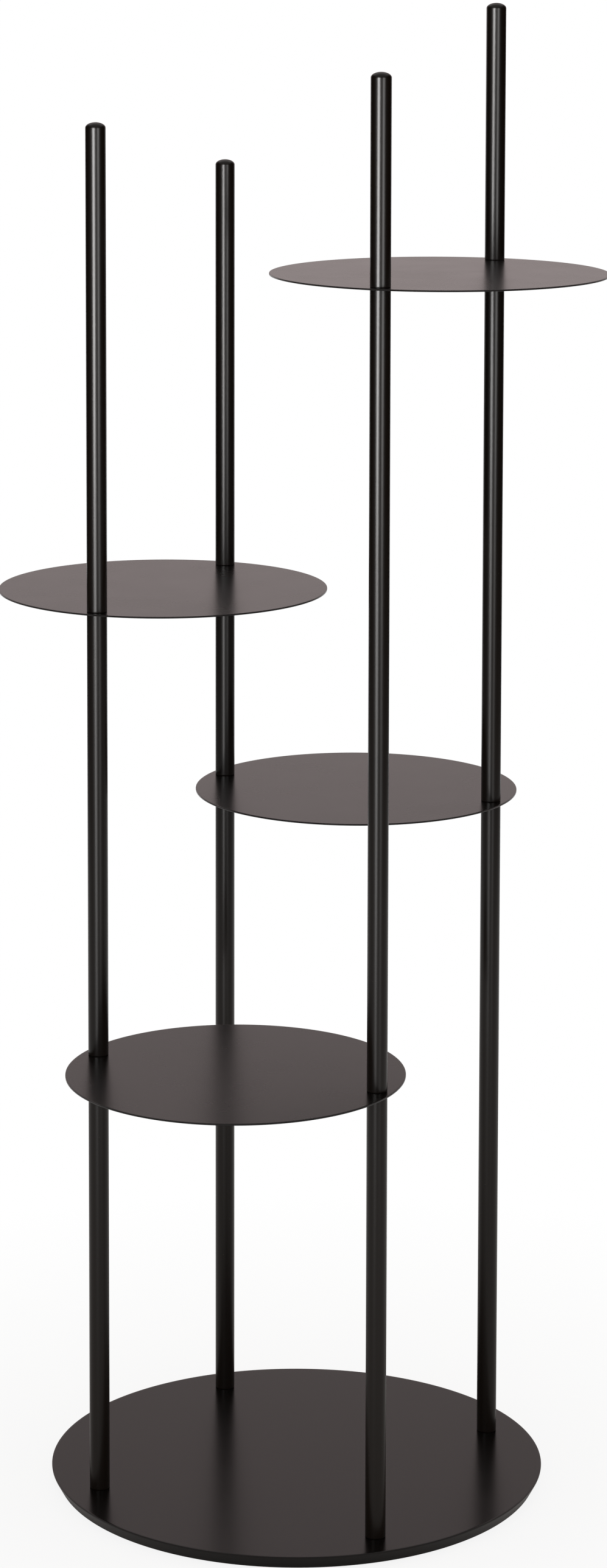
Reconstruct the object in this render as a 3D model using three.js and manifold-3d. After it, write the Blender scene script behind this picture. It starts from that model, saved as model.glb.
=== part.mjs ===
// Tiered plant stand: four round posts rise from a heavy round base at the corners of a square,
// and four thin round trays are clamped between the tubes of the posts at four heights. Each tray
// is centred on one side of the square, so that two posts carry it and every post carries two.
//
// Millimetres, +Z up, front towards -Y. The origin is the middle of the footprint, on the floor.

import * as THREE from 'three';
import { mergeVertices } from 'three/addons/utils/BufferGeometryUtils.js';
import Module from 'manifold-3d';

// ---- Base plate ----
const SQUARE_WIDTH = 270;         // side of the square on whose corners the posts stand
const BASE_EDGE_DISTANCE = 34;    // from a post's axis to the base's rim
const BASE_THICKNESS = 12;
const BASE_BEVEL = 6;             // how far the underside is drawn in from the rim
const BASE_LAND = 1.2;            // upright edge left above the bevel
const PAD_DIAMETER = 34;
const PAD_THICKNESS = 2;
const PAD_MARGIN = 8;             // from a foot pad to the edge of the underside

// ---- Trays ----
const TRAY_THICKNESS = 1.5;
const TRAY_EDGE_DISTANCE = 15;    // from a post's axis to the tray's rim
const LOWEST_TRAY_HEIGHT = 400;   // from the base up to the lowest tray
const LOWER_TRAY_HEIGHT = 200;    // from the lowest tray's underside to the lower one's
const UPPER_TRAY_HEIGHT = 200;    // from the lower tray's top up to the upper tray
const HIGHEST_TRAY_HEIGHT = 300;  // from the upper tray's underside to the highest one's

// ---- Posts: the height of each above the last tray that it carries ----
const FRONT_LEFT_HEIGHT = 433;
const REAR_LEFT_HEIGHT = 383;
const FRONT_RIGHT_HEIGHT = 183;
const REAR_RIGHT_HEIGHT = 233;
const TUBE_DIAMETER = 18;
const TUBE_WALL = 1.5;
const TUBE_EDGE = 0.5;            // bevel round the outside of a tube's end
const DOME_HEIGHT = 5;
const CAP_SKIRT = 12;             // the part of an end cap that is pressed into its tube

// ---- Screwed joints inside the posts ----
const THREAD_DIAMETER = 8;
const THREAD_ENGAGEMENT = 12;     // length of a stud or bolt inside its insert
const PLUG_LENGTH = 16;
const INSERT_FLOOR = 3;           // closed end of an insert
const HOLE_END_GAP = 2;           // room beyond the tip of a stud
const TIP_CHAMFER = 1;
const HEAD_DIAMETER = 16;
const HEAD_LAND = 0.5;            // upright edge of a countersunk head
const HEAD_RECESS = 0.8;          // depth of a head below the base's underside
const SOCKET_SIDES = 6;
const SOCKET_ACROSS_FLATS = 5;
const SOCKET_DEPTH = 3;

// ---- Clearances, on the radius ----
const PRESS_CLEARANCE = 0.1;      // plug, insert or cap skirt in its tube
const THREAD_CLEARANCE = 0.1;     // stud or bolt in its insert
const HOLE_CLEARANCE = 0.4;       // stud or bolt in a tray or in the base
const SEAT_CLEARANCE = 0.3;       // countersunk head in its seat

// ---- Facets ----
const POST_FACETS = 24;
const TRAY_FACETS = 96;
const BASE_FACETS = 120;
const DOME_STEPS = 6;
const CUT_MARGIN = 1;             // how far a cutting tool stands out of what it cuts

// ---- Sizes that follow from the ones above ----
const halfWidth = SQUARE_WIDTH / 2;
const baseRadius = Math.hypot(halfWidth, halfWidth) + BASE_EDGE_DISTANCE;
const undersideRadius = baseRadius - BASE_BEVEL;
const baseTop = PAD_THICKNESS + BASE_THICKNESS;
const trayRadius = halfWidth + TRAY_EDGE_DISTANCE;
const tubeRadius = TUBE_DIAMETER / 2;
const boreRadius = tubeRadius - TUBE_WALL;
const plugRadius = boreRadius - PRESS_CLEARANCE;
const threadRadius = THREAD_DIAMETER / 2;
const tappedRadius = threadRadius + THREAD_CLEARANCE;
const holeRadius = threadRadius + HOLE_CLEARANCE;
const headRadius = HEAD_DIAMETER / 2;
const insertLength = THREAD_ENGAGEMENT + HOLE_END_GAP + INSERT_FLOOR;

const lowestUnderside = baseTop + LOWEST_TRAY_HEIGHT;
const lowerUnderside = lowestUnderside + LOWER_TRAY_HEIGHT;
const upperUnderside = lowerUnderside + TRAY_THICKNESS + UPPER_TRAY_HEIGHT;
const highestUnderside = upperUnderside + HIGHEST_TRAY_HEIGHT;

// Sides of the square as directions from its middle: a tray is centred on one of them.
const trays = {
  lowest: { x: 0, y: -1, underside: lowestUnderside },
  lower: { x: 0, y: 1, underside: lowerUnderside },
  upper: { x: -1, y: 0, underside: upperUnderside },
  highest: { x: 1, y: 0, underside: highestUnderside },
};

// Corners of the square, each with the two trays that its post carries, the lower one first.
const posts = {
  front_left: { x: -1, y: -1, carries: [trays.lowest, trays.upper], rise: FRONT_LEFT_HEIGHT },
  rear_left: { x: -1, y: 1, carries: [trays.lower, trays.upper], rise: REAR_LEFT_HEIGHT },
  front_right: { x: 1, y: -1, carries: [trays.lowest, trays.highest], rise: FRONT_RIGHT_HEIGHT },
  rear_right: { x: 1, y: 1, carries: [trays.lower, trays.highest], rise: REAR_RIGHT_HEIGHT },
};

// Foot pads sit half-way between the posts, as directions from the middle.
const pads = {
  front: { x: 0, y: -1 },
  right: { x: 1, y: 0 },
  rear: { x: 0, y: 1 },
  left: { x: -1, y: 0 },
};

// ---- Materials ----
const blackPaint = { color: 0x2a2725, roughness: 0.42, metalness: 0.0 };
const zincSteel = { color: 0xa9a9a6, roughness: 0.35, metalness: 1.0 };
const blackRubber = { color: 0x161616, roughness: 0.9, metalness: 0.0 };

const wasm = await Module();
wasm.setup();

// A profile of [radius, height] points, swept round the Z axis. The points run up the outside,
// from the axis to the axis, or round a ring and back to the first one.
function turned(profile, facets = POST_FACETS) {
  const points = profile.map(([radius, height]) => new THREE.Vector2(radius, height));
  return new THREE.LatheGeometry(points, facets).rotateX(Math.PI / 2);
}

// The closed solid that a geometry bounds, with shared corners merged and slivers left out.
function solidOf(geometry) {
  const bare = geometry.clone();
  bare.deleteAttribute('normal');
  bare.deleteAttribute('uv');
  const merged = mergeVertices(bare);
  const corners = Array.from(merged.index.array);
  const triangles = [];
  for (let first = 0; first < corners.length; first += 3) {
    const [a, b, c] = corners.slice(first, first + 3);
    if (a !== b && b !== c && c !== a) triangles.push(a, b, c);
  }
  const vertProperties = new Float32Array(merged.attributes.position.array);
  const triVerts = new Uint32Array(triangles);
  return new wasm.Manifold(new wasm.Mesh({ numProp: 3, vertProperties, triVerts }));
}

// A piece with one or more tools cut out of it.
function cut(geometry, tools) {
  const solid = tools.reduce((rest, tool) => rest.subtract(solidOf(tool)), solidOf(geometry));
  const { vertProperties, triVerts } = solid.getMesh();
  const result = new THREE.BufferGeometry();
  result.setAttribute('position', new THREE.BufferAttribute(vertProperties, 3));
  result.setIndex(new THREE.BufferAttribute(triVerts, 1));
  result.computeVertexNormals();
  return result;
}

// Heavy round plate with a sharp top rim and a bevelled underside, countersunk for four bolts.
function basePlate() {
  const plate = turned([
    [0, 0],
    [undersideRadius, 0],
    [baseRadius, BASE_THICKNESS - BASE_LAND],
    [baseRadius, BASE_THICKNESS],
    [0, BASE_THICKNESS],
  ], BASE_FACETS);
  const seats = Object.values(posts).map(({ x, y }) => (
    boltSeat().translate(x * halfWidth, y * halfWidth, 0)
  ));
  return cut(plate, seats);
}

// Tool for a bolt hole: the head's recess, its 90 degree cone and the hole above.
function boltSeat() {
  const mouth = headRadius + SEAT_CLEARANCE;
  const coneFoot = HEAD_RECESS + HEAD_LAND;
  return turned([
    [0, -CUT_MARGIN],
    [mouth, -CUT_MARGIN],
    [mouth, coneFoot],
    [holeRadius, coneFoot + mouth - holeRadius],
    [holeRadius, BASE_THICKNESS + CUT_MARGIN],
    [0, BASE_THICKNESS + CUT_MARGIN],
  ]);
}

// Plain sheet disc with a hole for the stud of each of its two posts.
function tray() {
  const disc = turned([
    [0, 0],
    [trayRadius, 0],
    [trayRadius, TRAY_THICKNESS],
    [0, TRAY_THICKNESS],
  ], TRAY_FACETS);
  const holes = [-halfWidth, halfWidth].map((x) => turned([
    [0, -CUT_MARGIN],
    [holeRadius, -CUT_MARGIN],
    [holeRadius, TRAY_THICKNESS + CUT_MARGIN],
    [0, TRAY_THICKNESS + CUT_MARGIN],
  ]).translate(x, 0, 0));
  return cut(disc, holes);
}

// Open tube, bevelled round the outside of its ends. An end that takes a cap stays square.
function tube(length, isCapped) {
  const topEdge = isCapped ? [[tubeRadius, length]] : [
    [tubeRadius, length - TUBE_EDGE],
    [tubeRadius - TUBE_EDGE, length],
  ];
  return turned([
    [boreRadius, 0],
    [tubeRadius - TUBE_EDGE, 0],
    [tubeRadius, TUBE_EDGE],
    ...topEdge,
    [boreRadius, length],
    [boreRadius, 0],
  ]);
}

// Threaded insert with a blind hole. Its open face is at height 0, flush with the tube's end.
function insert() {
  return turned([
    [0, -insertLength],
    [plugRadius, -insertLength],
    [plugRadius, 0],
    [tappedRadius, 0],
    [tappedRadius, INSERT_FLOOR - insertLength],
    [0, INSERT_FLOOR - insertLength],
  ]);
}

// Plug with a stud below it, which passes through a tray into the insert of the tube beneath.
function studPlug() {
  const reach = TRAY_THICKNESS + THREAD_ENGAGEMENT;
  return turned([
    [0, -reach],
    [threadRadius - TIP_CHAMFER, -reach],
    [threadRadius, TIP_CHAMFER - reach],
    [threadRadius, 0],
    [plugRadius, 0],
    [plugRadius, PLUG_LENGTH],
    [0, PLUG_LENGTH],
  ]);
}

// End cap: a half-oval dome that runs on from the tube's side, on a skirt pressed into the tube.
function endCap() {
  const dome = [];
  for (let step = 0; step < DOME_STEPS; step += 1) {
    const angle = (Math.PI / 2) * (step / DOME_STEPS);
    dome.push([tubeRadius * Math.cos(angle), DOME_HEIGHT * Math.sin(angle)]);
  }
  return turned([
    [0, -CAP_SKIRT],
    [plugRadius, -CAP_SKIRT],
    [plugRadius, 0],
    ...dome,
    [0, DOME_HEIGHT],
  ]);
}

// Countersunk bolt with a hexagonal socket. Its head faces down, at height 0.
function baseBolt() {
  const length = BASE_THICKNESS - HEAD_RECESS + THREAD_ENGAGEMENT;
  const bolt = turned([
    [0, 0],
    [headRadius, 0],
    [headRadius, HEAD_LAND],
    [threadRadius, HEAD_LAND + headRadius - threadRadius],
    [threadRadius, length - TIP_CHAMFER],
    [threadRadius - TIP_CHAMFER, length],
    [0, length],
  ]);
  const hexRadius = SOCKET_ACROSS_FLATS / 2 / Math.cos(Math.PI / SOCKET_SIDES);
  const toolHeight = 2 * SOCKET_DEPTH;   // half of it stands out of the head
  const socket = new THREE.CylinderGeometry(hexRadius, hexRadius, toolHeight, SOCKET_SIDES);
  return cut(bolt, [socket.rotateX(Math.PI / 2)]);
}

function footPad() {
  const radius = PAD_DIAMETER / 2;
  return turned([
    [0, 0],
    [radius, 0],
    [radius, PAD_THICKNESS],
    [0, PAD_THICKNESS],
  ]);
}

// Adds a named piece to a group, at a height in that group.
function addPiece(group, name, geometry, look, height) {
  const mesh = new THREE.Mesh(geometry, new THREE.MeshStandardMaterial(look));
  mesh.name = name;
  mesh.position.z = height;
  group.add(mesh);
  return mesh;
}

// One post: three tubes with what is fixed inside them, an end cap, and the bolt from below.
function buildPost(name, { x, y, carries, rise }) {
  const post = new THREE.Group();
  post.position.set(x * halfWidth, y * halfWidth, 0);
  const [first, second] = carries;
  const lastTop = second.underside + TRAY_THICKNESS;
  const stretches = {
    lower: [baseTop, first.underside],
    middle: [first.underside + TRAY_THICKNESS, second.underside],
    upper: [lastTop, lastTop + rise - DOME_HEIGHT],
  };
  for (const [stretch, [foot, head]] of Object.entries(stretches)) {
    const isCapped = stretch === 'upper';
    addPiece(post, `tube_${name}_${stretch}`, tube(head - foot, isCapped), blackPaint, foot);
    if (stretch === 'lower') {
      const anchor = addPiece(post, `insert_${name}_foot`, insert(), zincSteel, foot);
      anchor.rotation.x = Math.PI;
    } else {
      addPiece(post, `stud_plug_${name}_${stretch}`, studPlug(), zincSteel, foot);
    }
    if (isCapped) {
      addPiece(post, `end_cap_${name}`, endCap(), blackPaint, head);
    } else {
      addPiece(post, `insert_${name}_${stretch}`, insert(), zincSteel, head);
    }
  }
  addPiece(post, `base_bolt_${name}`, baseBolt(), zincSteel, PAD_THICKNESS + HEAD_RECESS);
  return post;
}

// The whole stand, from the floor up.
function buildStand() {
  const stand = new THREE.Group();
  const padDistance = undersideRadius - PAD_MARGIN - PAD_DIAMETER / 2;
  for (const [name, { x, y }] of Object.entries(pads)) {
    const pad = addPiece(stand, `foot_pad_${name}`, footPad(), blackRubber, 0);
    pad.position.x = x * padDistance;
    pad.position.y = y * padDistance;
  }
  addPiece(stand, 'base_plate', basePlate(), blackPaint, PAD_THICKNESS);
  for (const [name, { x, y, underside }] of Object.entries(trays)) {
    const plate = addPiece(stand, `tray_${name}`, tray(), blackPaint, underside);
    plate.position.x = x * halfWidth;
    plate.position.y = y * halfWidth;
    plate.rotation.z = Math.abs(x) * Math.PI / 2;
  }
  for (const [name, post] of Object.entries(posts)) stand.add(buildPost(name, post));
  return stand;
}

export default buildStand();
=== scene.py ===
# %% [markdown]
# # A tiered plant stand in black powder coat
#
# The stand has a heavy round base, four round posts at the corners of a square, and four thin
# round trays. Each tray is sandwiched between the tubes of two posts, so the posts are not single
# rods: every post is three tubes, screwed together end to end with the trays between them.
#
# The frame that is loaded here is the engineer's model of the stand. It says where every piece
# is and how large it is, but its curves are made of a few flat facets. So the pieces that show
# are modelled again over it, finer and with softened edges, and the frame's own pieces stay only
# where nobody looks closely: the screws and plugs inside the joints and the pads under the base.
#
# Everything is in metres, with Z up and the middle of the stand at the origin, on the floor.

# %% Load the frame
import math

import bmesh
import bpy
from mathutils import Matrix, Vector


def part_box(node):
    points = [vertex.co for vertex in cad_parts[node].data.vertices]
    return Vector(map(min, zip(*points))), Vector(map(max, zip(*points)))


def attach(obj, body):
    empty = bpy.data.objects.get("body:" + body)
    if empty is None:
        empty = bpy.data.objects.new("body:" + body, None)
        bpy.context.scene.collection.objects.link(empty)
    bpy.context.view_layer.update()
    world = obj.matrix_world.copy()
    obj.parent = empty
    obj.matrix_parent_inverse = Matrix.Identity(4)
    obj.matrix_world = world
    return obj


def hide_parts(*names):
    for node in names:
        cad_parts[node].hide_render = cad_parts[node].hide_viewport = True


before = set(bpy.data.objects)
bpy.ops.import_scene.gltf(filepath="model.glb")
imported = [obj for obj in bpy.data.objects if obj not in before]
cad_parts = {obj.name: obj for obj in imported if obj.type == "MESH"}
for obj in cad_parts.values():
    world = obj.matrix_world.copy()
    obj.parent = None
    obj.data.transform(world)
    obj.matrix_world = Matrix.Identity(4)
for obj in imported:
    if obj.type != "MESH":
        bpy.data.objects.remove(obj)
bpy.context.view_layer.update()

print("frame nodes:", len(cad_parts))

# %% [markdown]
# ## Sizes
#
# The places and the outer sizes are measured on the frame, so nothing has to be fitted by eye. A
# few small ones can't be seen on a box, such as the wall of a tube or how round an edge is, and
# are given here as on the real stand: tubes of 18 mm with a 1.5 mm wall, trays of 1.5 mm sheet.

# %% Measure the frame
MM = 0.001

base_low, base_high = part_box("base_plate")
base_radius = base_high.x
tray_low, tray_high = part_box("tray_lowest")
tray_radius = (tray_high.x - tray_low.x) / 2
tray_thickness = tray_high.z - tray_low.z
cap_low, cap_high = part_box("end_cap_front_left")
tube_low, tube_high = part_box("tube_front_left_lower")
tube_radius = (tube_high.x - tube_low.x) / 2
tube_nodes = sorted(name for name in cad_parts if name.startswith("tube_"))
cap_nodes = sorted(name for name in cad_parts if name.startswith("end_cap_"))
tray_nodes = sorted(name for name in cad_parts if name.startswith("tray_"))
base_thickness = base_high.z - base_low.z
print("base radius and thickness, mm:", round(base_radius / MM, 1), round(base_thickness / MM, 1))
print("tray radius and thickness, mm:", round(tray_radius / MM, 1), round(tray_thickness / MM, 2))
print("tube radius, mm:", round(tube_radius / MM, 2))
print("tubes, caps and trays:", len(tube_nodes), len(cap_nodes), len(tray_nodes))

# %% [markdown]
# ## The camera
#
# The stand was photographed from a little above the top tray, from the front and slightly to the
# right, with a long lens. All the posts stay upright in the picture, which a camera that looks
# down can't give by itself: the lens is shifted, so that the camera looks almost level and the
# picture is taken from the lower part of what the lens sees.

# %% Place the camera
camera_data = bpy.data.cameras.new("photo_camera")
camera = bpy.data.objects.new("photo_camera", camera_data)
bpy.context.scene.collection.objects.link(camera)
bpy.context.scene.camera = camera
camera_data.sensor_width = 36
camera_data.lens = 94.35
camera_data.shift_x = 0.0010
camera_data.shift_y = -0.3054
camera_data.clip_end = 300
camera_azimuth = math.radians(23.70)
camera_pitch = math.radians(6.154)
camera_roll = math.radians(0.12)
camera_place = (1.4705, -3.3432, 1.4761)
camera_turn = (
    Matrix.Rotation(camera_azimuth, 4, "Z")
    @ Matrix.Rotation(math.pi / 2 - camera_pitch, 4, "X")
    @ Matrix.Rotation(camera_roll, 4, "Z")
)
camera.matrix_world = Matrix.Translation(camera_place) @ camera_turn
print("camera at", [round(x, 3) for x in camera.location], "lens", camera_data.lens)

# %% [markdown]
# ## Helpers for working as by hand
#
# Blender's operators act on whatever is selected, and loading the frame leaves all its pieces
# selected. So each new piece starts by deselecting everything. In edit mode the faces or edges to
# work on are picked by a question about their place, as a hand would pick them by eye.

# %% Helpers
def start_clean():
    """Nothing selected, nothing active, object mode."""
    if bpy.context.mode != "OBJECT":
        bpy.ops.object.mode_set(mode="OBJECT")
    bpy.ops.object.select_all(action="DESELECT")


def work_on(piece):
    """Only this piece selected and active, in object mode."""
    start_clean()
    piece.select_set(True)
    bpy.context.view_layer.objects.active = piece


def name_new(name):
    """Names the object that an operator has just added, and its mesh."""
    piece = bpy.context.object
    piece.name = name
    piece.data.name = name
    return piece


def select_everything():
    """In edit mode, selects all, loose edges too, which face mode would pass over."""
    bpy.ops.mesh.select_mode(type="VERT")
    bpy.ops.mesh.select_all(action="SELECT")


def pick(kind, question):
    """In edit mode, selects the faces, edges or vertices for which the question is true."""
    mesh = bpy.context.edit_object.data
    bpy.ops.mesh.select_mode(type=kind)
    bpy.ops.mesh.select_all(action="DESELECT")
    shaped = bmesh.from_edit_mesh(mesh)
    items = {"FACE": shaped.faces, "EDGE": shaped.edges, "VERT": shaped.verts}[kind]
    chosen = [item for item in items if question(item)]
    for item in chosen:
        item.select_set(True)
    shaped.select_flush_mode()
    bmesh.update_edit_mesh(mesh)
    return len(chosen)


LEVEL_TOLERANCE = 0.02 * MM
RADIUS_TOLERANCE = 0.05 * MM


def ring_edge(radius, height):
    """A question for pick: is this edge part of the ring of this radius at this height?"""
    def is_on_ring(corner):
        is_level = abs(corner.co.z - height) < LEVEL_TOLERANCE
        return is_level and abs(corner.co.xy.length - radius) < RADIUS_TOLERANCE
    return lambda edge: all(is_on_ring(corner) for corner in edge.verts)


def flat_face(height):
    """A question for pick: is this face level, at this height?"""
    def question(face):
        is_level = abs(face.normal.z) > 0.99
        return is_level and abs(face.calc_center_median().z - height) < LEVEL_TOLERANCE
    return question


def extrude(rise=0.0, grow=None):
    """Extrudes what is selected by a rise, then scales the new end in or out, both in edit mode."""
    bpy.ops.mesh.extrude_region_move(TRANSFORM_OT_translate={"value": (0, 0, rise)})
    if grow:
        bpy.ops.transform.resize(value=(grow, grow, 1))


def round_over(width, segments):
    """Rounds the selected edges."""
    bpy.ops.mesh.bevel(offset=width, offset_type="OFFSET", segments=segments, affect="EDGES")


def smooth(piece):
    """Smooth shading that keeps corners sharper than 30 degrees."""
    work_on(piece)
    bpy.ops.object.shade_smooth_by_angle(angle=math.radians(30))


def apply_modifiers(piece):
    """Makes the piece's modifiers part of its mesh."""
    work_on(piece)
    for modifier in list(piece.modifiers):
        bpy.ops.object.modifier_apply(modifier=modifier.name)


def cut_with(piece, cutter):
    """Cuts the cutter's shape out of the piece, and puts the cutter away."""
    boolean = piece.modifiers.new("cut", "BOOLEAN")
    boolean.operation = "DIFFERENCE"
    boolean.solver = "EXACT"
    boolean.object = cutter
    apply_modifiers(piece)
    bpy.data.objects.remove(cutter)


def copy_to(master, name, place, turn=0.0):
    """A copy of a finished shape with a mesh of its own, turned and moved inside that mesh."""
    piece = master.copy()
    piece.data = master.data.copy()
    piece.name = name
    piece.data.name = name
    piece.data.transform(Matrix.Translation(place) @ Matrix.Rotation(turn, 4, "Z"))
    bpy.context.scene.collection.objects.link(piece)
    return piece


def put_away(*masters):
    """Removes the shapes that were only copied from."""
    for master in masters:
        bpy.data.objects.remove(master)


def triangles(piece):
    """How many triangles a piece has."""
    piece.data.calc_loop_triangles()
    return len(piece.data.loop_triangles)


print("helpers are ready")

# %% [markdown]
# ## Shared effects of the finish
#
# Powder coat is sprayed on as a dry powder and melted in an oven. It never flows quite level: up
# close it has a fine, slightly pebbled skin, and here and there a speck of dust is baked in.
# Handling adds faint smears that shine a little more or less. These effects are on every black
# piece, in different strengths, so each is a shader node group that is built once. The groups
# give only numbers that change over the surface, and the shader itself stays in each material.

# %% Node helpers
def new_group(name, inputs, outputs):
    """A shader node group with sockets: {name: (type, default)} going in and {name: type} out."""
    group = bpy.data.node_groups.new(name, "ShaderNodeTree")
    for socket_name, (kind, default) in inputs.items():
        socket = group.interface.new_socket(name=socket_name, in_out="INPUT", socket_type=kind)
        if default is not None:
            socket.default_value = default
    for socket_name, kind in outputs.items():
        group.interface.new_socket(name=socket_name, in_out="OUTPUT", socket_type=kind)
    entry = group.nodes.new("NodeGroupInput")
    leave = group.nodes.new("NodeGroupOutput")
    return group, entry, leave


def calculate(tree, operation, first, second=None, clamp=False):
    """A Math node; its inputs are sockets or plain numbers. Gives its output socket."""
    node = tree.nodes.new("ShaderNodeMath")
    node.operation = operation
    node.use_clamp = clamp
    for index, value in enumerate((first, second)):
        if value is None:
            continue
        if isinstance(value, (int, float)):
            node.inputs[index].default_value = value
        else:
            tree.links.new(value, node.inputs[index])
    return node.outputs[0]


def noise(tree, place, size, detail, roughness=0.5):
    """A Noise Texture whose spots are about this size, which is a socket or a length in metres."""
    node = tree.nodes.new("ShaderNodeTexNoise")
    node.inputs["Detail"].default_value = detail
    node.inputs["Roughness"].default_value = roughness
    tree.links.new(place, node.inputs["Vector"])
    scale = calculate(tree, "DIVIDE", 1.0, size)
    tree.links.new(scale, node.inputs["Scale"])
    return node.outputs["Fac"]


def add_group(tree, group, place, sizes):
    """A node of this group that reads a place. Its sizes are {socket name: metres}."""
    node = tree.nodes.new("ShaderNodeGroup")
    node.node_tree = group
    tree.links.new(place, node.inputs["Vector"])
    for socket_name, size in sizes.items():
        node.inputs[socket_name].default_value = size
    return node


def add_bump(tree, height, depth, shader):
    """Tilts the shader's surface by a height, where a height of 1 is this depth in metres."""
    bump = tree.nodes.new("ShaderNodeBump")
    bump.inputs["Strength"].default_value = 1.0
    bump.inputs["Distance"].default_value = depth
    tree.links.new(height, bump.inputs["Height"])
    tree.links.new(bump.outputs["Normal"], shader.inputs["Normal"])


def add_tint(tree, share, first, second, shader):
    """Colours the shader with a mix of two colours, by a share from 0 to 1."""
    tint = tree.nodes.new("ShaderNodeMix")
    tint.data_type = "RGBA"
    tint.inputs["A"].default_value = (*first, 1)
    tint.inputs["B"].default_value = (*second, 1)
    tree.links.new(share, tint.inputs["Factor"])
    tree.links.new(tint.outputs["Result"], shader.inputs["Base Color"])


FLOAT, VECTOR = "NodeSocketFloat", "NodeSocketVector"
print("node helpers are ready")

# %% Grain of the powder coat
grain_group, grain_in, grain_out = new_group(
    "powder_coat_grain",
    {"Vector": (VECTOR, None), "Pebble Size": (FLOAT, 0.9 * MM), "Fine Size": (FLOAT, 0.3 * MM)},
    {"Height": FLOAT, "Sparkle": FLOAT},
)
grain_place = grain_in.outputs["Vector"]
pebbles = noise(grain_group, grain_place, grain_in.outputs["Pebble Size"], detail=1.0)
fine = noise(grain_group, grain_place, grain_in.outputs["Fine Size"], detail=0.0)
fine_weight = 0.4
fine_share = calculate(grain_group, "MULTIPLY", fine, fine_weight)
grain_height = calculate(grain_group, "ADD", pebbles, fine_share)
grain_group.links.new(grain_height, grain_out.inputs["Height"])
grain_group.links.new(fine, grain_out.inputs["Sparkle"])
print("group", grain_group.name, "nodes:", len(grain_group.nodes))

# %% Smears and specks
marks_group, marks_in, marks_out = new_group(
    "handling_marks",
    {"Vector": (VECTOR, None), "Smear Size": (FLOAT, 60 * MM), "Speck Spacing": (FLOAT, 12 * MM)},
    {"Smear": FLOAT, "Speck": FLOAT},
)
marks_place = marks_in.outputs["Vector"]
smear = noise(marks_group, marks_place, marks_in.outputs["Smear Size"], detail=3.0, roughness=0.6)
marks_group.links.new(smear, marks_out.inputs["Smear"])
cells = marks_group.nodes.new("ShaderNodeTexVoronoi")
cells.inputs["Randomness"].default_value = 1.0
marks_group.links.new(marks_place, cells.inputs["Vector"])
cell_scale = calculate(marks_group, "DIVIDE", 1.0, marks_in.outputs["Speck Spacing"])
marks_group.links.new(cell_scale, cells.inputs["Scale"])
speck_radius = 0.022  # as a share of the spacing
near_middle = calculate(marks_group, "LESS_THAN", cells.outputs["Distance"], speck_radius)
marks_group.links.new(near_middle, marks_out.inputs["Speck"])
print("group", marks_group.name, "nodes:", len(marks_group.nodes))

# %% [markdown]
# ## The materials
#
# The coat is black with a trace of warm brown and a satin sheen. The same recipe is used for the
# base, the trays and the posts, with a roughness and a grain of its own for each, because a thin
# sheet, a thick plate and a tube take the powder differently. The inner steel parts are zinc
# plated and the pads are rubber.

# %% Black powder coat
def powder_coat(name, colour, speck_colour, roughness, roughness_change, grain_depth, pebble_size,
                specular):
    """A black satin powder coat; returns the material."""
    material = bpy.data.materials.new(name)
    material.use_nodes = True
    tree = material.node_tree
    tree.nodes.clear()
    output = tree.nodes.new("ShaderNodeOutputMaterial")
    shader = tree.nodes.new("ShaderNodeBsdfPrincipled")
    tree.links.new(shader.outputs["BSDF"], output.inputs["Surface"])
    place = tree.nodes.new("ShaderNodeTexCoord").outputs["Object"]
    grain_sizes = {"Pebble Size": pebble_size, "Fine Size": pebble_size / 3}
    grain = add_group(tree, grain_group, place, grain_sizes)
    marks = add_group(tree, marks_group, place, {})
    add_tint(tree, marks.outputs["Speck"], colour, speck_colour, shader)
    smear_swing = calculate(tree, "SUBTRACT", marks.outputs["Smear"], 0.5)
    change = calculate(tree, "MULTIPLY", smear_swing, roughness_change)
    tree.links.new(calculate(tree, "ADD", change, roughness), shader.inputs["Roughness"])
    add_bump(tree, grain.outputs["Height"], grain_depth, shader)
    shader.inputs["Specular IOR Level"].default_value = specular
    return material


WARM_BLACK = (0.0034, 0.0026, 0.0021)
BROWN_BLACK = (0.0078, 0.0044, 0.0024)
BAKED_DUST = (0.06, 0.055, 0.05)
tray_coat = powder_coat(
    "tray_powder_coat", WARM_BLACK, BAKED_DUST, roughness=0.27, roughness_change=0.04,
    grain_depth=0.006 * MM, pebble_size=0.8 * MM, specular=0.35,
)
base_coat = powder_coat(
    "base_powder_coat", WARM_BLACK, BAKED_DUST, roughness=0.23, roughness_change=0.04,
    grain_depth=0.006 * MM, pebble_size=0.9 * MM, specular=0.30,
)
post_coat = powder_coat(
    "post_powder_coat", BROWN_BLACK, BAKED_DUST, roughness=0.30, roughness_change=0.03,
    grain_depth=0.0005 * MM, pebble_size=0.7 * MM, specular=0.28,
)
print("coats:", tray_coat.name, base_coat.name, post_coat.name)

# %% Zinc plate and rubber
def plain_finish(name, light, dark, roughness, roughness_change, metallic, grain_depth, grain_size):
    """Zinc plate or rubber: two close colours in a fine pattern, with its own grain."""
    material = bpy.data.materials.new(name)
    material.use_nodes = True
    tree = material.node_tree
    shader = tree.nodes["Principled BSDF"]
    shader.inputs["Metallic"].default_value = metallic
    place = tree.nodes.new("ShaderNodeTexCoord").outputs["Object"]
    grain_sizes = {"Pebble Size": grain_size, "Fine Size": grain_size / 3}
    grain = add_group(tree, grain_group, place, grain_sizes)
    add_tint(tree, grain.outputs["Sparkle"], dark, light, shader)
    change = calculate(tree, "MULTIPLY", grain.outputs["Sparkle"], roughness_change)
    tree.links.new(calculate(tree, "ADD", change, roughness), shader.inputs["Roughness"])
    add_bump(tree, grain.outputs["Height"], grain_depth, shader)
    return material


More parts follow.
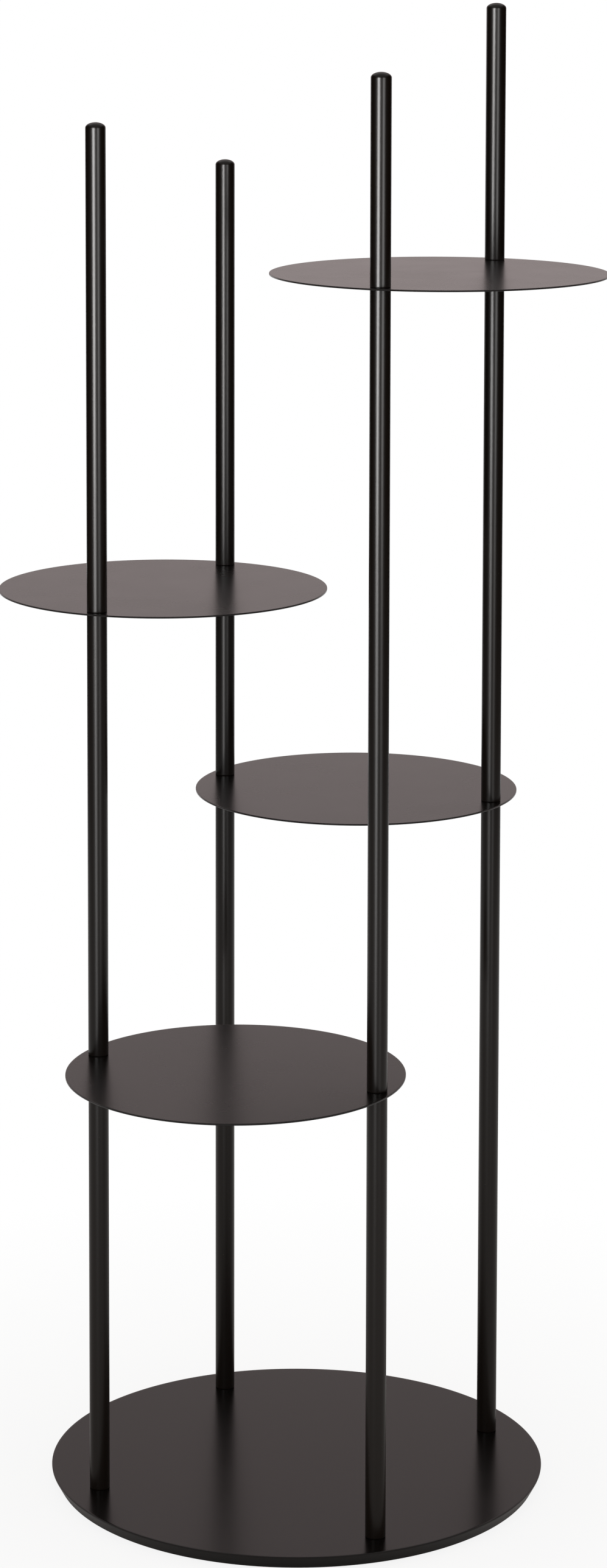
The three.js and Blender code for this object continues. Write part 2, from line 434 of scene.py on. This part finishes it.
zinc = plain_finish(
    "zinc_plate", light=(0.62, 0.63, 0.66), dark=(0.46, 0.47, 0.50), roughness=0.26,
    roughness_change=0.15, metallic=1.0, grain_depth=0.004 * MM, grain_size=1.2 * MM,
)
rubber = plain_finish(
    "pad_rubber", light=(0.022, 0.021, 0.020), dark=(0.012, 0.012, 0.012), roughness=0.70,
    roughness_change=0.2, metallic=0.0, grain_depth=0.03 * MM, grain_size=0.6 * MM,
)
print("finishes:", zinc.name, rubber.name)

# %% [markdown]
# ## The base plate
#
# The base is a steel plate, 12 mm thick, that keeps the tall stand from tipping over. Its side is
# not upright: below a narrow land at the top it slopes inwards, so that the plate looks thinner
# than it is and throws a soft shadow line on the floor. It is drawn as the lathe would cut it: a
# filled circle for the underside, extruded up and widened for the slope, and extruded once more
# for the land. The edges are then rounded over, because powder coat never leaves a sharp edge.

# %% Shape the base plate
base_bevel = 6 * MM
base_land = 1.2 * MM
underside_radius = base_radius - base_bevel
slope_top = base_high.z - base_land
roundings = [  # edge, radius, height, width of the rounding, steps
    ("land", base_radius, base_high.z, 0.45 * MM, 4),
    ("slope", base_radius, slope_top, 0.4 * MM, 3),
    ("underside", underside_radius, base_low.z, 0.6 * MM, 3),
]
flat_inset = 1.5 * MM

start_clean()
bpy.ops.mesh.primitive_circle_add(
    vertices=288, radius=underside_radius, fill_type="NGON", location=(0, 0, base_low.z)
)
base_plate = name_new("base_plate_fine")
bpy.ops.object.transform_apply(location=True)
bpy.ops.object.mode_set(mode="EDIT")
select_everything()
extrude(rise=base_thickness - base_land, grow=base_radius / underside_radius)
extrude(rise=base_land)
select_everything()
bpy.ops.mesh.normals_make_consistent(inside=False)
for name, radius, height, width, steps in roundings:
    print(name, "edge:", pick("EDGE", ring_edge(radius, height)))
    round_over(width, steps)
for level in (base_low.z, base_high.z):
    pick("FACE", flat_face(level))
    bpy.ops.mesh.inset(thickness=flat_inset)
bpy.ops.object.mode_set(mode="OBJECT")
print("base plate triangles:", triangles(base_plate))

# %% [markdown]
# Four countersunk bolts come up from below, one into each post. Their seats are cut with one tool
# that has the shape of the hole: the head's recess, its cone and the clearance hole for the bolt.

# %% Cut the four bolt seats
seat_low, seat_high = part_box("base_bolt_front_left")
head_radius = (seat_high.x - seat_low.x) / 2
seat_clearance = 0.3 * MM
mouth_radius = head_radius + seat_clearance
hole_radius = 4.4 * MM
head_recess = seat_low.z - base_low.z
mouth_height = head_recess + 0.5 * MM  # the mouth's wall reaches just past the head's face
cut_margin = 1 * MM
post_places = [(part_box(cap)[0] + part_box(cap)[1]) / 2 for cap in cap_nodes]

start_clean()
bpy.ops.mesh.primitive_circle_add(
    vertices=64, radius=mouth_radius, fill_type="NGON", location=(0, 0, base_low.z - cut_margin)
)
seat_tool = name_new("seat_tool")
bpy.ops.object.transform_apply(location=True)
bpy.ops.object.mode_set(mode="EDIT")
select_everything()
extrude(rise=cut_margin + mouth_height)
extrude(rise=mouth_radius - hole_radius, grow=hole_radius / mouth_radius)
extrude(rise=base_thickness)
select_everything()
bpy.ops.mesh.normals_make_consistent(inside=False)
bpy.ops.object.mode_set(mode="OBJECT")
for place in post_places:
    cutter = copy_to(seat_tool, "seat_cut", (place.x, place.y, 0))
    cut_with(base_plate, cutter)
put_away(seat_tool)
smooth(base_plate)
base_plate.data.materials.append(base_coat)
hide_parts("base_plate")
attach(base_plate, "root")
print("base plate triangles after the cuts:", triangles(base_plate))

# %% [markdown]
# ## The trays
#
# A tray is a plain disc of thin sheet, laser-cut and coated, with two holes for the studs of its
# two posts. One is modelled flat at the origin and copied four times. The rims are rounded over
# by a fraction of a millimetre, which draws the fine line of light round each tray.

# %% Shape one tray
hole_to_rim = 15 * MM
tray_hole_distance = tray_radius - hole_to_rim
rim_rounding = 0.35 * MM
rim_inset = 1.0 * MM

start_clean()
bpy.ops.mesh.primitive_circle_add(
    vertices=240, radius=tray_radius, fill_type="NGON", location=(0, 0, 0)
)
tray_master = name_new("tray_master")
bpy.ops.object.mode_set(mode="EDIT")
select_everything()
extrude(rise=tray_thickness)
select_everything()
bpy.ops.mesh.normals_make_consistent(inside=False)
for level in (0, tray_thickness):
    pick("EDGE", ring_edge(tray_radius, level))
    round_over(rim_rounding, 3)
for level in (0, tray_thickness):
    pick("FACE", flat_face(level))
    bpy.ops.mesh.inset(thickness=rim_inset)
bpy.ops.object.mode_set(mode="OBJECT")
for side in (-1, 1):
    start_clean()
    bpy.ops.mesh.primitive_cylinder_add(
        vertices=48, radius=hole_radius, depth=4 * tray_thickness,
        location=(side * tray_hole_distance, 0, tray_thickness / 2),
    )
    cut_with(tray_master, name_new("stud_hole_tool"))
smooth(tray_master)
tray_master.data.materials.append(tray_coat)
print("tray triangles:", triangles(tray_master))

# %% Copy the tray to its four places
for node in tray_nodes:
    low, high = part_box(node)
    middle = (low + high) / 2
    sideways = math.pi / 2 if abs(middle.x) > abs(middle.y) else 0.0
    piece = copy_to(tray_master, node + "_fine", (middle.x, middle.y, low.z), sideways)
    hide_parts(node)
    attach(piece, "root")
    print(piece.name, "at", [round(x, 4) for x in (middle.x, middle.y, low.z)])
put_away(tray_master)

# %% [markdown]
# ## The tubes
#
# All twelve tubes are cut from the same stock: 18 mm across with a 1.5 mm wall, deburred round the
# outside of the ends. That rounded end is what makes the joints readable, with a fine bright arc
# and a dark line under it. One tube is drawn as a ring that is extruded up, given its wall by
# Solidify and rounded at its ends. Each copy is then stretched from its middle, so the ends keep
# their shape. A tube that takes an end cap keeps a square end there, so that no groove shows.

# %% Shape two tubes
tube_wall = 1.5 * MM
stock_length = 40 * MM
end_rounding = 0.5 * MM
loop_distance = 1.2 * MM  # an extra ring near the end, so that only the end is shaded as round


def shape_tube(name, is_capped):
    """A short tube that stands on the origin, to be copied and stretched."""
    start_clean()
    bpy.ops.mesh.primitive_circle_add(
        vertices=96, radius=tube_radius, fill_type="NOTHING", location=(0, 0, 0)
    )
    tube = name_new(name)
    bpy.ops.object.mode_set(mode="EDIT")
    select_everything()
    extrude(rise=stock_length)
    select_everything()
    bpy.ops.mesh.normals_make_consistent(inside=False)
    bpy.ops.object.mode_set(mode="OBJECT")
    wall = tube.modifiers.new("wall", "SOLIDIFY")
    wall.thickness = tube_wall
    wall.offset = -1
    wall.use_even_offset = True
    apply_modifiers(tube)
    bpy.ops.object.mode_set(mode="EDIT")
    ends = [(0, loop_distance), (stock_length, stock_length - loop_distance)]
    for level, loop_level in ends[:1] if is_capped else ends:
        pick("EDGE", ring_edge(tube_radius, level))
        round_over(end_rounding, 4)
        select_everything()
        bpy.ops.mesh.bisect(plane_co=(0, 0, loop_level), plane_no=(0, 0, 1))
    bpy.ops.object.mode_set(mode="OBJECT")
    smooth(tube)
    tube.data.materials.append(post_coat)
    print(name, "triangles:", triangles(tube))
    return tube


open_tube = shape_tube("open_tube", False)
capped_tube = shape_tube("capped_tube", True)

# %% Copy and stretch the tubes
for node in tube_nodes:
    low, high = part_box(node)
    middle = (low + high) / 2
    master = capped_tube if node.endswith("_upper") else open_tube
    piece = copy_to(master, node + "_fine", (middle.x, middle.y, low.z))
    work_on(piece)
    bpy.ops.object.mode_set(mode="EDIT")
    pick("VERT", lambda corner: corner.co.z > low.z + stock_length / 2)
    bpy.ops.transform.translate(value=(0, 0, high.z - low.z - stock_length))
    bpy.ops.object.mode_set(mode="OBJECT")
    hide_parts(node)
    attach(piece, "root")
    print(piece.name, "length, mm:", round((high.z - low.z) / MM, 1))
put_away(open_tube, capped_tube)

# %% [markdown]
# ## The end caps
#
# Each post ends in a shallow dome that runs on from the tube's side without a step, on a skirt
# that is pressed into the tube. A ball is the quickest start: it is squashed to the height of the
# dome, its lower half is cut away, and the flat face that is left is inset and extruded down.

# %% Shape one end cap
press_clearance = 0.1 * MM
plug_radius = tube_radius - tube_wall - press_clearance
cap_skirt = 12 * MM
dome_height = cap_high.z - cap_low.z - cap_skirt

start_clean()
bpy.ops.mesh.primitive_uv_sphere_add(
    segments=96, ring_count=48, radius=tube_radius, location=(0, 0, 0)
)
cap_master = name_new("cap_master")
bpy.ops.object.mode_set(mode="EDIT")
select_everything()
bpy.ops.transform.resize(value=(1, 1, dome_height / tube_radius))
bpy.ops.mesh.bisect(plane_co=(0, 0, 0), plane_no=(0, 0, 1), clear_inner=True, use_fill=True)
print("flat faces under the dome:", pick("FACE", flat_face(0)))
bpy.ops.mesh.inset(thickness=tube_radius - plug_radius)
extrude(rise=-cap_skirt)
select_everything()
bpy.ops.mesh.normals_make_consistent(inside=False)
bpy.ops.object.mode_set(mode="OBJECT")
smooth(cap_master)
cap_master.data.materials.append(post_coat)
print("cap triangles:", triangles(cap_master))

# %% Copy the cap to its four posts
for node in cap_nodes:
    low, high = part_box(node)
    middle = (low + high) / 2
    piece = copy_to(cap_master, node + "_fine", (middle.x, middle.y, high.z - dome_height))
    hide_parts(node)
    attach(piece, "root")
    print(piece.name, "top at, mm:", round(high.z / MM, 1))
put_away(cap_master)

# %% [markdown]
# ## The pieces that stay as the frame has them
#
# The plugs, inserts and bolts are only seen at the bolt heads under the base, and the pads are
# plain rubber discs. Their shapes are right already, so they only get their finish.

# %% Dress the frame's own pieces
dressed = {"stud_plug_": zinc, "insert_": zinc, "base_bolt_": zinc, "foot_pad_": rubber}
for name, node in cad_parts.items():
    for start, finish in dressed.items():
        if name.startswith(start):
            node.data.materials.clear()
            node.data.materials.append(finish)
print("dressed:", sum(name.startswith(tuple(dressed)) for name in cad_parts))

# %% [markdown]
# ## The floor and the light
#
# The stand was photographed in front of white, so the floor is plain and as good as white, with
# only a faint shadow. One large soft lamp overhead and pale surroundings give the general light,
# at a level at which a colour renders about as it is written. What the camera sees of the floor
# and what a coat mirrors of it are two shares with a strength each: near the base the mirrored
# floor is plain paint, as dark as the shadow that the stand throws on it.

# %% The pale floor
def light_path(tree):
    """Two sockets, 1 for what the camera sees directly and for what reflections and glass see."""
    path = tree.nodes.new("ShaderNodeLightPath")
    glossy = path.outputs["Is Glossy Ray"]
    indirect = calculate(tree, "ADD", glossy, path.outputs["Is Transmission Ray"], clamp=True)
    return path.outputs["Is Camera Ray"], indirect


def fade(tree, distance, start, end, first, last):
    """A value that goes evenly from first to last between two distances, in metres."""
    node = tree.nodes.new("ShaderNodeMapRange")
    node.inputs["From Min"].default_value = start
    node.inputs["From Max"].default_value = end
    node.inputs["To Min"].default_value = first
    node.inputs["To Max"].default_value = last
    tree.links.new(distance, node.inputs["Value"])
    return node.outputs["Result"]


floor_radius = 80
fade_start = 0.26  # from the middle, just outside the base
seen_fade_end = 0.8
mirrored_fade_end = 3.0
white_near_base = 0.88  # the rest is paint, which shows the shadow

start_clean()
bpy.ops.mesh.primitive_circle_add(
    vertices=128, radius=floor_radius, fill_type="NGON", location=(0, 0, 0)
)
floor = name_new("floor")
floor_material = bpy.data.materials.new("pale_floor")
floor_material.use_nodes = True
floor_tree = floor_material.node_tree
floor_tree.nodes.clear()
floor_output = floor_tree.nodes.new("ShaderNodeOutputMaterial")
floor_paint = floor_tree.nodes.new("ShaderNodeBsdfDiffuse")
floor_paint.inputs["Color"].default_value = (0.80, 0.76, 0.73, 1)
floor_white = floor_tree.nodes.new("ShaderNodeEmission")
floor_white.inputs["Strength"].default_value = 1.0
floor_mix = floor_tree.nodes.new("ShaderNodeMixShader")
floor_place = floor_tree.nodes.new("ShaderNodeTexCoord").outputs["Object"]
floor_distance = floor_tree.nodes.new("ShaderNodeVectorMath")
floor_distance.operation = "LENGTH"
floor_tree.links.new(floor_place, floor_distance.inputs[0])
reach = floor_distance.outputs["Value"]
seen, mirrored = light_path(floor_tree)
seen_fade = fade(floor_tree, reach, fade_start, seen_fade_end, white_near_base, 1.0)
mirrored_fade = fade(floor_tree, reach, fade_start, mirrored_fade_end, 0.0, 1.0)
seen_share = calculate(floor_tree, "MULTIPLY", seen, seen_fade)
mirrored_share = calculate(floor_tree, "MULTIPLY", mirrored, mirrored_fade)
white_share = calculate(floor_tree, "ADD", seen_share, mirrored_share, clamp=True)
floor_tree.links.new(white_share, floor_mix.inputs["Fac"])
floor_tree.links.new(floor_paint.outputs["BSDF"], floor_mix.inputs[1])
floor_tree.links.new(floor_white.outputs["Emission"], floor_mix.inputs[2])
floor_tree.links.new(floor_mix.outputs["Shader"], floor_output.inputs["Surface"])
floor_material.cycles.emission_sampling = "NONE"
floor.data.materials.append(floor_material)
print("floor radius, m:", floor_radius)

# %% The white surroundings
world = bpy.data.worlds.new("studio")
bpy.context.scene.world = world
world.use_nodes = True
world_tree = world.node_tree
world_tree.nodes.clear()
world_output = world_tree.nodes.new("ShaderNodeOutputWorld")
world_mix = world_tree.nodes.new("ShaderNodeMixShader")
world_seen, world_mirrored = light_path(world_tree)
world_white = calculate(world_tree, "ADD", world_seen, world_mirrored, clamp=True)
world_tree.links.new(world_white, world_mix.inputs["Fac"])
fill_strength = 0.55
seen_strength = 1.0
for socket, strength in ((1, fill_strength), (2, seen_strength)):
    glow = world_tree.nodes.new("ShaderNodeBackground")
    glow.inputs["Color"].default_value = (1, 1, 1, 1)
    glow.inputs["Strength"].default_value = strength
    world_tree.links.new(glow.outputs["Background"], world_mix.inputs[socket])
world_tree.links.new(world_mix.outputs["Shader"], world_output.inputs["Surface"])
print("fill light:", fill_strength, "and as seen:", seen_strength)

# %% [markdown]
# ## The lamps
#
# The round posts show two narrow upright softboxes, a strong one on the left and a weak one on
# the right, that fade towards the floor. Each is a tall lamp with a weaker one below it. They
# could light everything, but a flat tray seen from behind would mirror them as a white patch, so
# light linking keeps them to the posts and caps. Each also has a grid, which is the narrow spread
# of an area lamp: the posts' own images in the base stay dark near the feet.

# %% The lamps
def lamp(name, radiance, width, height, place, target, spread=180):
    """A rectangular lamp aimed at a point, in metres and degrees.

    Its power is that of an even glow of this radiance. A spread under 180 keeps the power in a
    narrower fan, which is brighter along its middle.
    """
    data = bpy.data.lights.new(name, "AREA")
    data.shape = "RECTANGLE"
    data.size, data.size_y = width, height
    data.energy = radiance * math.pi * width * height
    data.spread = math.radians(spread)
    lamp_object = bpy.data.objects.new(name, data)
    bpy.context.scene.collection.objects.link(lamp_object)
    turn = (Vector(target) - Vector(place)).to_track_quat("-Z", "Y").to_matrix().to_4x4()
    lamp_object.matrix_world = Matrix.Translation(place) @ turn
    lamp_object.visible_camera = False
    return lamp_object


def around(angle, distance, height):
    """A place at an angle from the camera's direction, to the picture's right, in degrees."""
    turned = camera_azimuth - math.pi / 2 + math.radians(angle)
    return (distance * math.cos(turned), distance * math.sin(turned), height)


def strip_pair(side, angle, foot_angle, radiance, foot_radiance):
    """A tall strip lamp and a weaker one below it, both turned up a little, with a grid."""
    width, height, foot_height = 0.65, 1.8, 0.65
    distance, grid_spread = 2.0, 70
    place = around(angle, distance, foot_height + height / 2)
    foot_place = around(foot_angle, distance, foot_height / 2)
    target, foot_target = (0, 0, 1.83), (0, 0, 0.79)
    foot_name = side + "_strip_foot"
    return [
        lamp(side + "_strip", radiance, width, height, place, target, grid_spread),
        lamp(foot_name, foot_radiance, width, foot_height, foot_place, foot_target, grid_spread),
    ]


lamp("overhead_softbox", radiance=0.55, width=5.6, height=5.6, place=(0, 0, 3.6), target=(0, 0, 0))
left_strips = strip_pair("left", angle=-23, foot_angle=-18, radiance=5.6, foot_radiance=1.1)
right_strips = strip_pair("right", angle=27, foot_angle=27, radiance=1.35, foot_radiance=0.3)
posts_only = bpy.data.collections.new("lit_by_the_strips")
for node in tube_nodes + cap_nodes:
    posts_only.objects.link(bpy.data.objects[node + "_fine"])
for strip in left_strips + right_strips:
    strip.visible_diffuse = False
    strip.light_linking.receiver_collection = posts_only
print("lamps:", [light.name for light in bpy.data.lights])

# %% [markdown]
# ## What the coats mirror
#
# A satin black coat is made of reflections. Photographers stand dark screens round a shiny object
# on purpose, and leave only a window behind it, through which the trays and the base, seen at a
# grazing angle, mirror the pale backdrop. The backdrop is brightest near the floor and dims higher
# up, which makes the high trays lighter than the low ones and the base. So a dark ring with a lid
# and a window stands close round the stand, and a pale ring stands far away. Only reflections see
# them. The dark ring glows a little for the trays and the base, which keeps them from going fully
# black from the side, and stays black for the posts, which gives the bands beside the highlights.

# %% Rings that only reflections see
behind = Vector(around(180, 1, 0))
window_half_angle = 40


def window_part(face):
    """A question for pick: is this upright face straight behind the stand for the camera?"""
    if abs(face.normal.z) > 0.5:
        return False
    off_middle = face.calc_center_median().xy.normalized().angle(behind.xy.normalized())
    return off_middle < math.radians(window_half_angle)


def reflected_ring(name, radius, height, colour, fill="NOTHING"):
    """An upright ring on the floor that glows in this colour, and only in reflections.

    Returns the ring, its node tree and its shader, which still needs an Emission Strength.
    """
    start_clean()
    bpy.ops.mesh.primitive_circle_add(vertices=96, radius=radius, fill_type=fill, location=(0, 0, 0))
    ring = name_new(name)
    bpy.ops.object.mode_set(mode="EDIT")
    select_everything()
    extrude(rise=height)
    bpy.ops.object.mode_set(mode="OBJECT")
    for kind in ("camera", "diffuse", "shadow", "transmission"):
        setattr(ring, "visible_" + kind, False)
    finish = bpy.data.materials.new(name)
    finish.use_nodes = True
    finish.cycles.emission_sampling = "NONE"
    shader = finish.node_tree.nodes["Principled BSDF"]
    shader.inputs["Base Color"].default_value = (0, 0, 0, 1)
    shader.inputs["Specular IOR Level"].default_value = 0.0
    shader.inputs["Emission Color"].default_value = (*colour, 1)
    ring.data.materials.append(finish)
    return ring, finish.node_tree, shader


# The screen is a dark surround that only reflections see, and its faint warm glow is painted light:
# the trays and the base mirror it, the posts mirror it black.
screen, _, screen_glow = reflected_ring(
    "dark_screen", radius=2.6, height=4.0, colour=(1.0, 0.90, 0.88), fill="NGON"
)
screen_glow.inputs["Emission Strength"].default_value = 0.45
bpy.ops.object.mode_set(mode="EDIT")
print("floor of the screen, taken out:", pick("FACE", flat_face(0)))
bpy.ops.mesh.delete(type="FACE")
print("parts cut out for the window:", pick("FACE", window_part))
bpy.ops.mesh.delete(type="FACE")
bpy.ops.object.mode_set(mode="OBJECT")
discs_only = bpy.data.collections.new("lit_by_the_screen")
for node in tray_nodes + ["base_plate"]:
    discs_only.objects.link(bpy.data.objects[node + "_fine"])
screen.light_linking.receiver_collection = discs_only

# The wall's glow is painted light that only reflections see: it stands in for a lit backdrop,
# brighter near the floor and dimmer higher up.
wall, wall_tree, paint = reflected_ring("pale_wall", radius=30, height=30, colour=(1.0, 0.86, 0.85))
wall_place = wall_tree.nodes.new("ShaderNodeTexCoord").outputs["Object"]
wall_height = wall_tree.nodes.new("ShaderNodeSeparateXYZ")
wall_tree.links.new(wall_place, wall_height.inputs[0])
dimming = fade(wall_tree, wall_height.outputs["Z"], start=1.0, end=10.0, first=1.1, last=0.45)
wall_tree.links.new(dimming, paint.inputs["Emission Strength"])
print("rings:", screen.name, wall.name)

# %% [markdown]
# ## Colour management
#
# Colours are shown as they are, with the Standard view.

# %% Colour management
bpy.context.scene.view_settings.view_transform = "Standard"
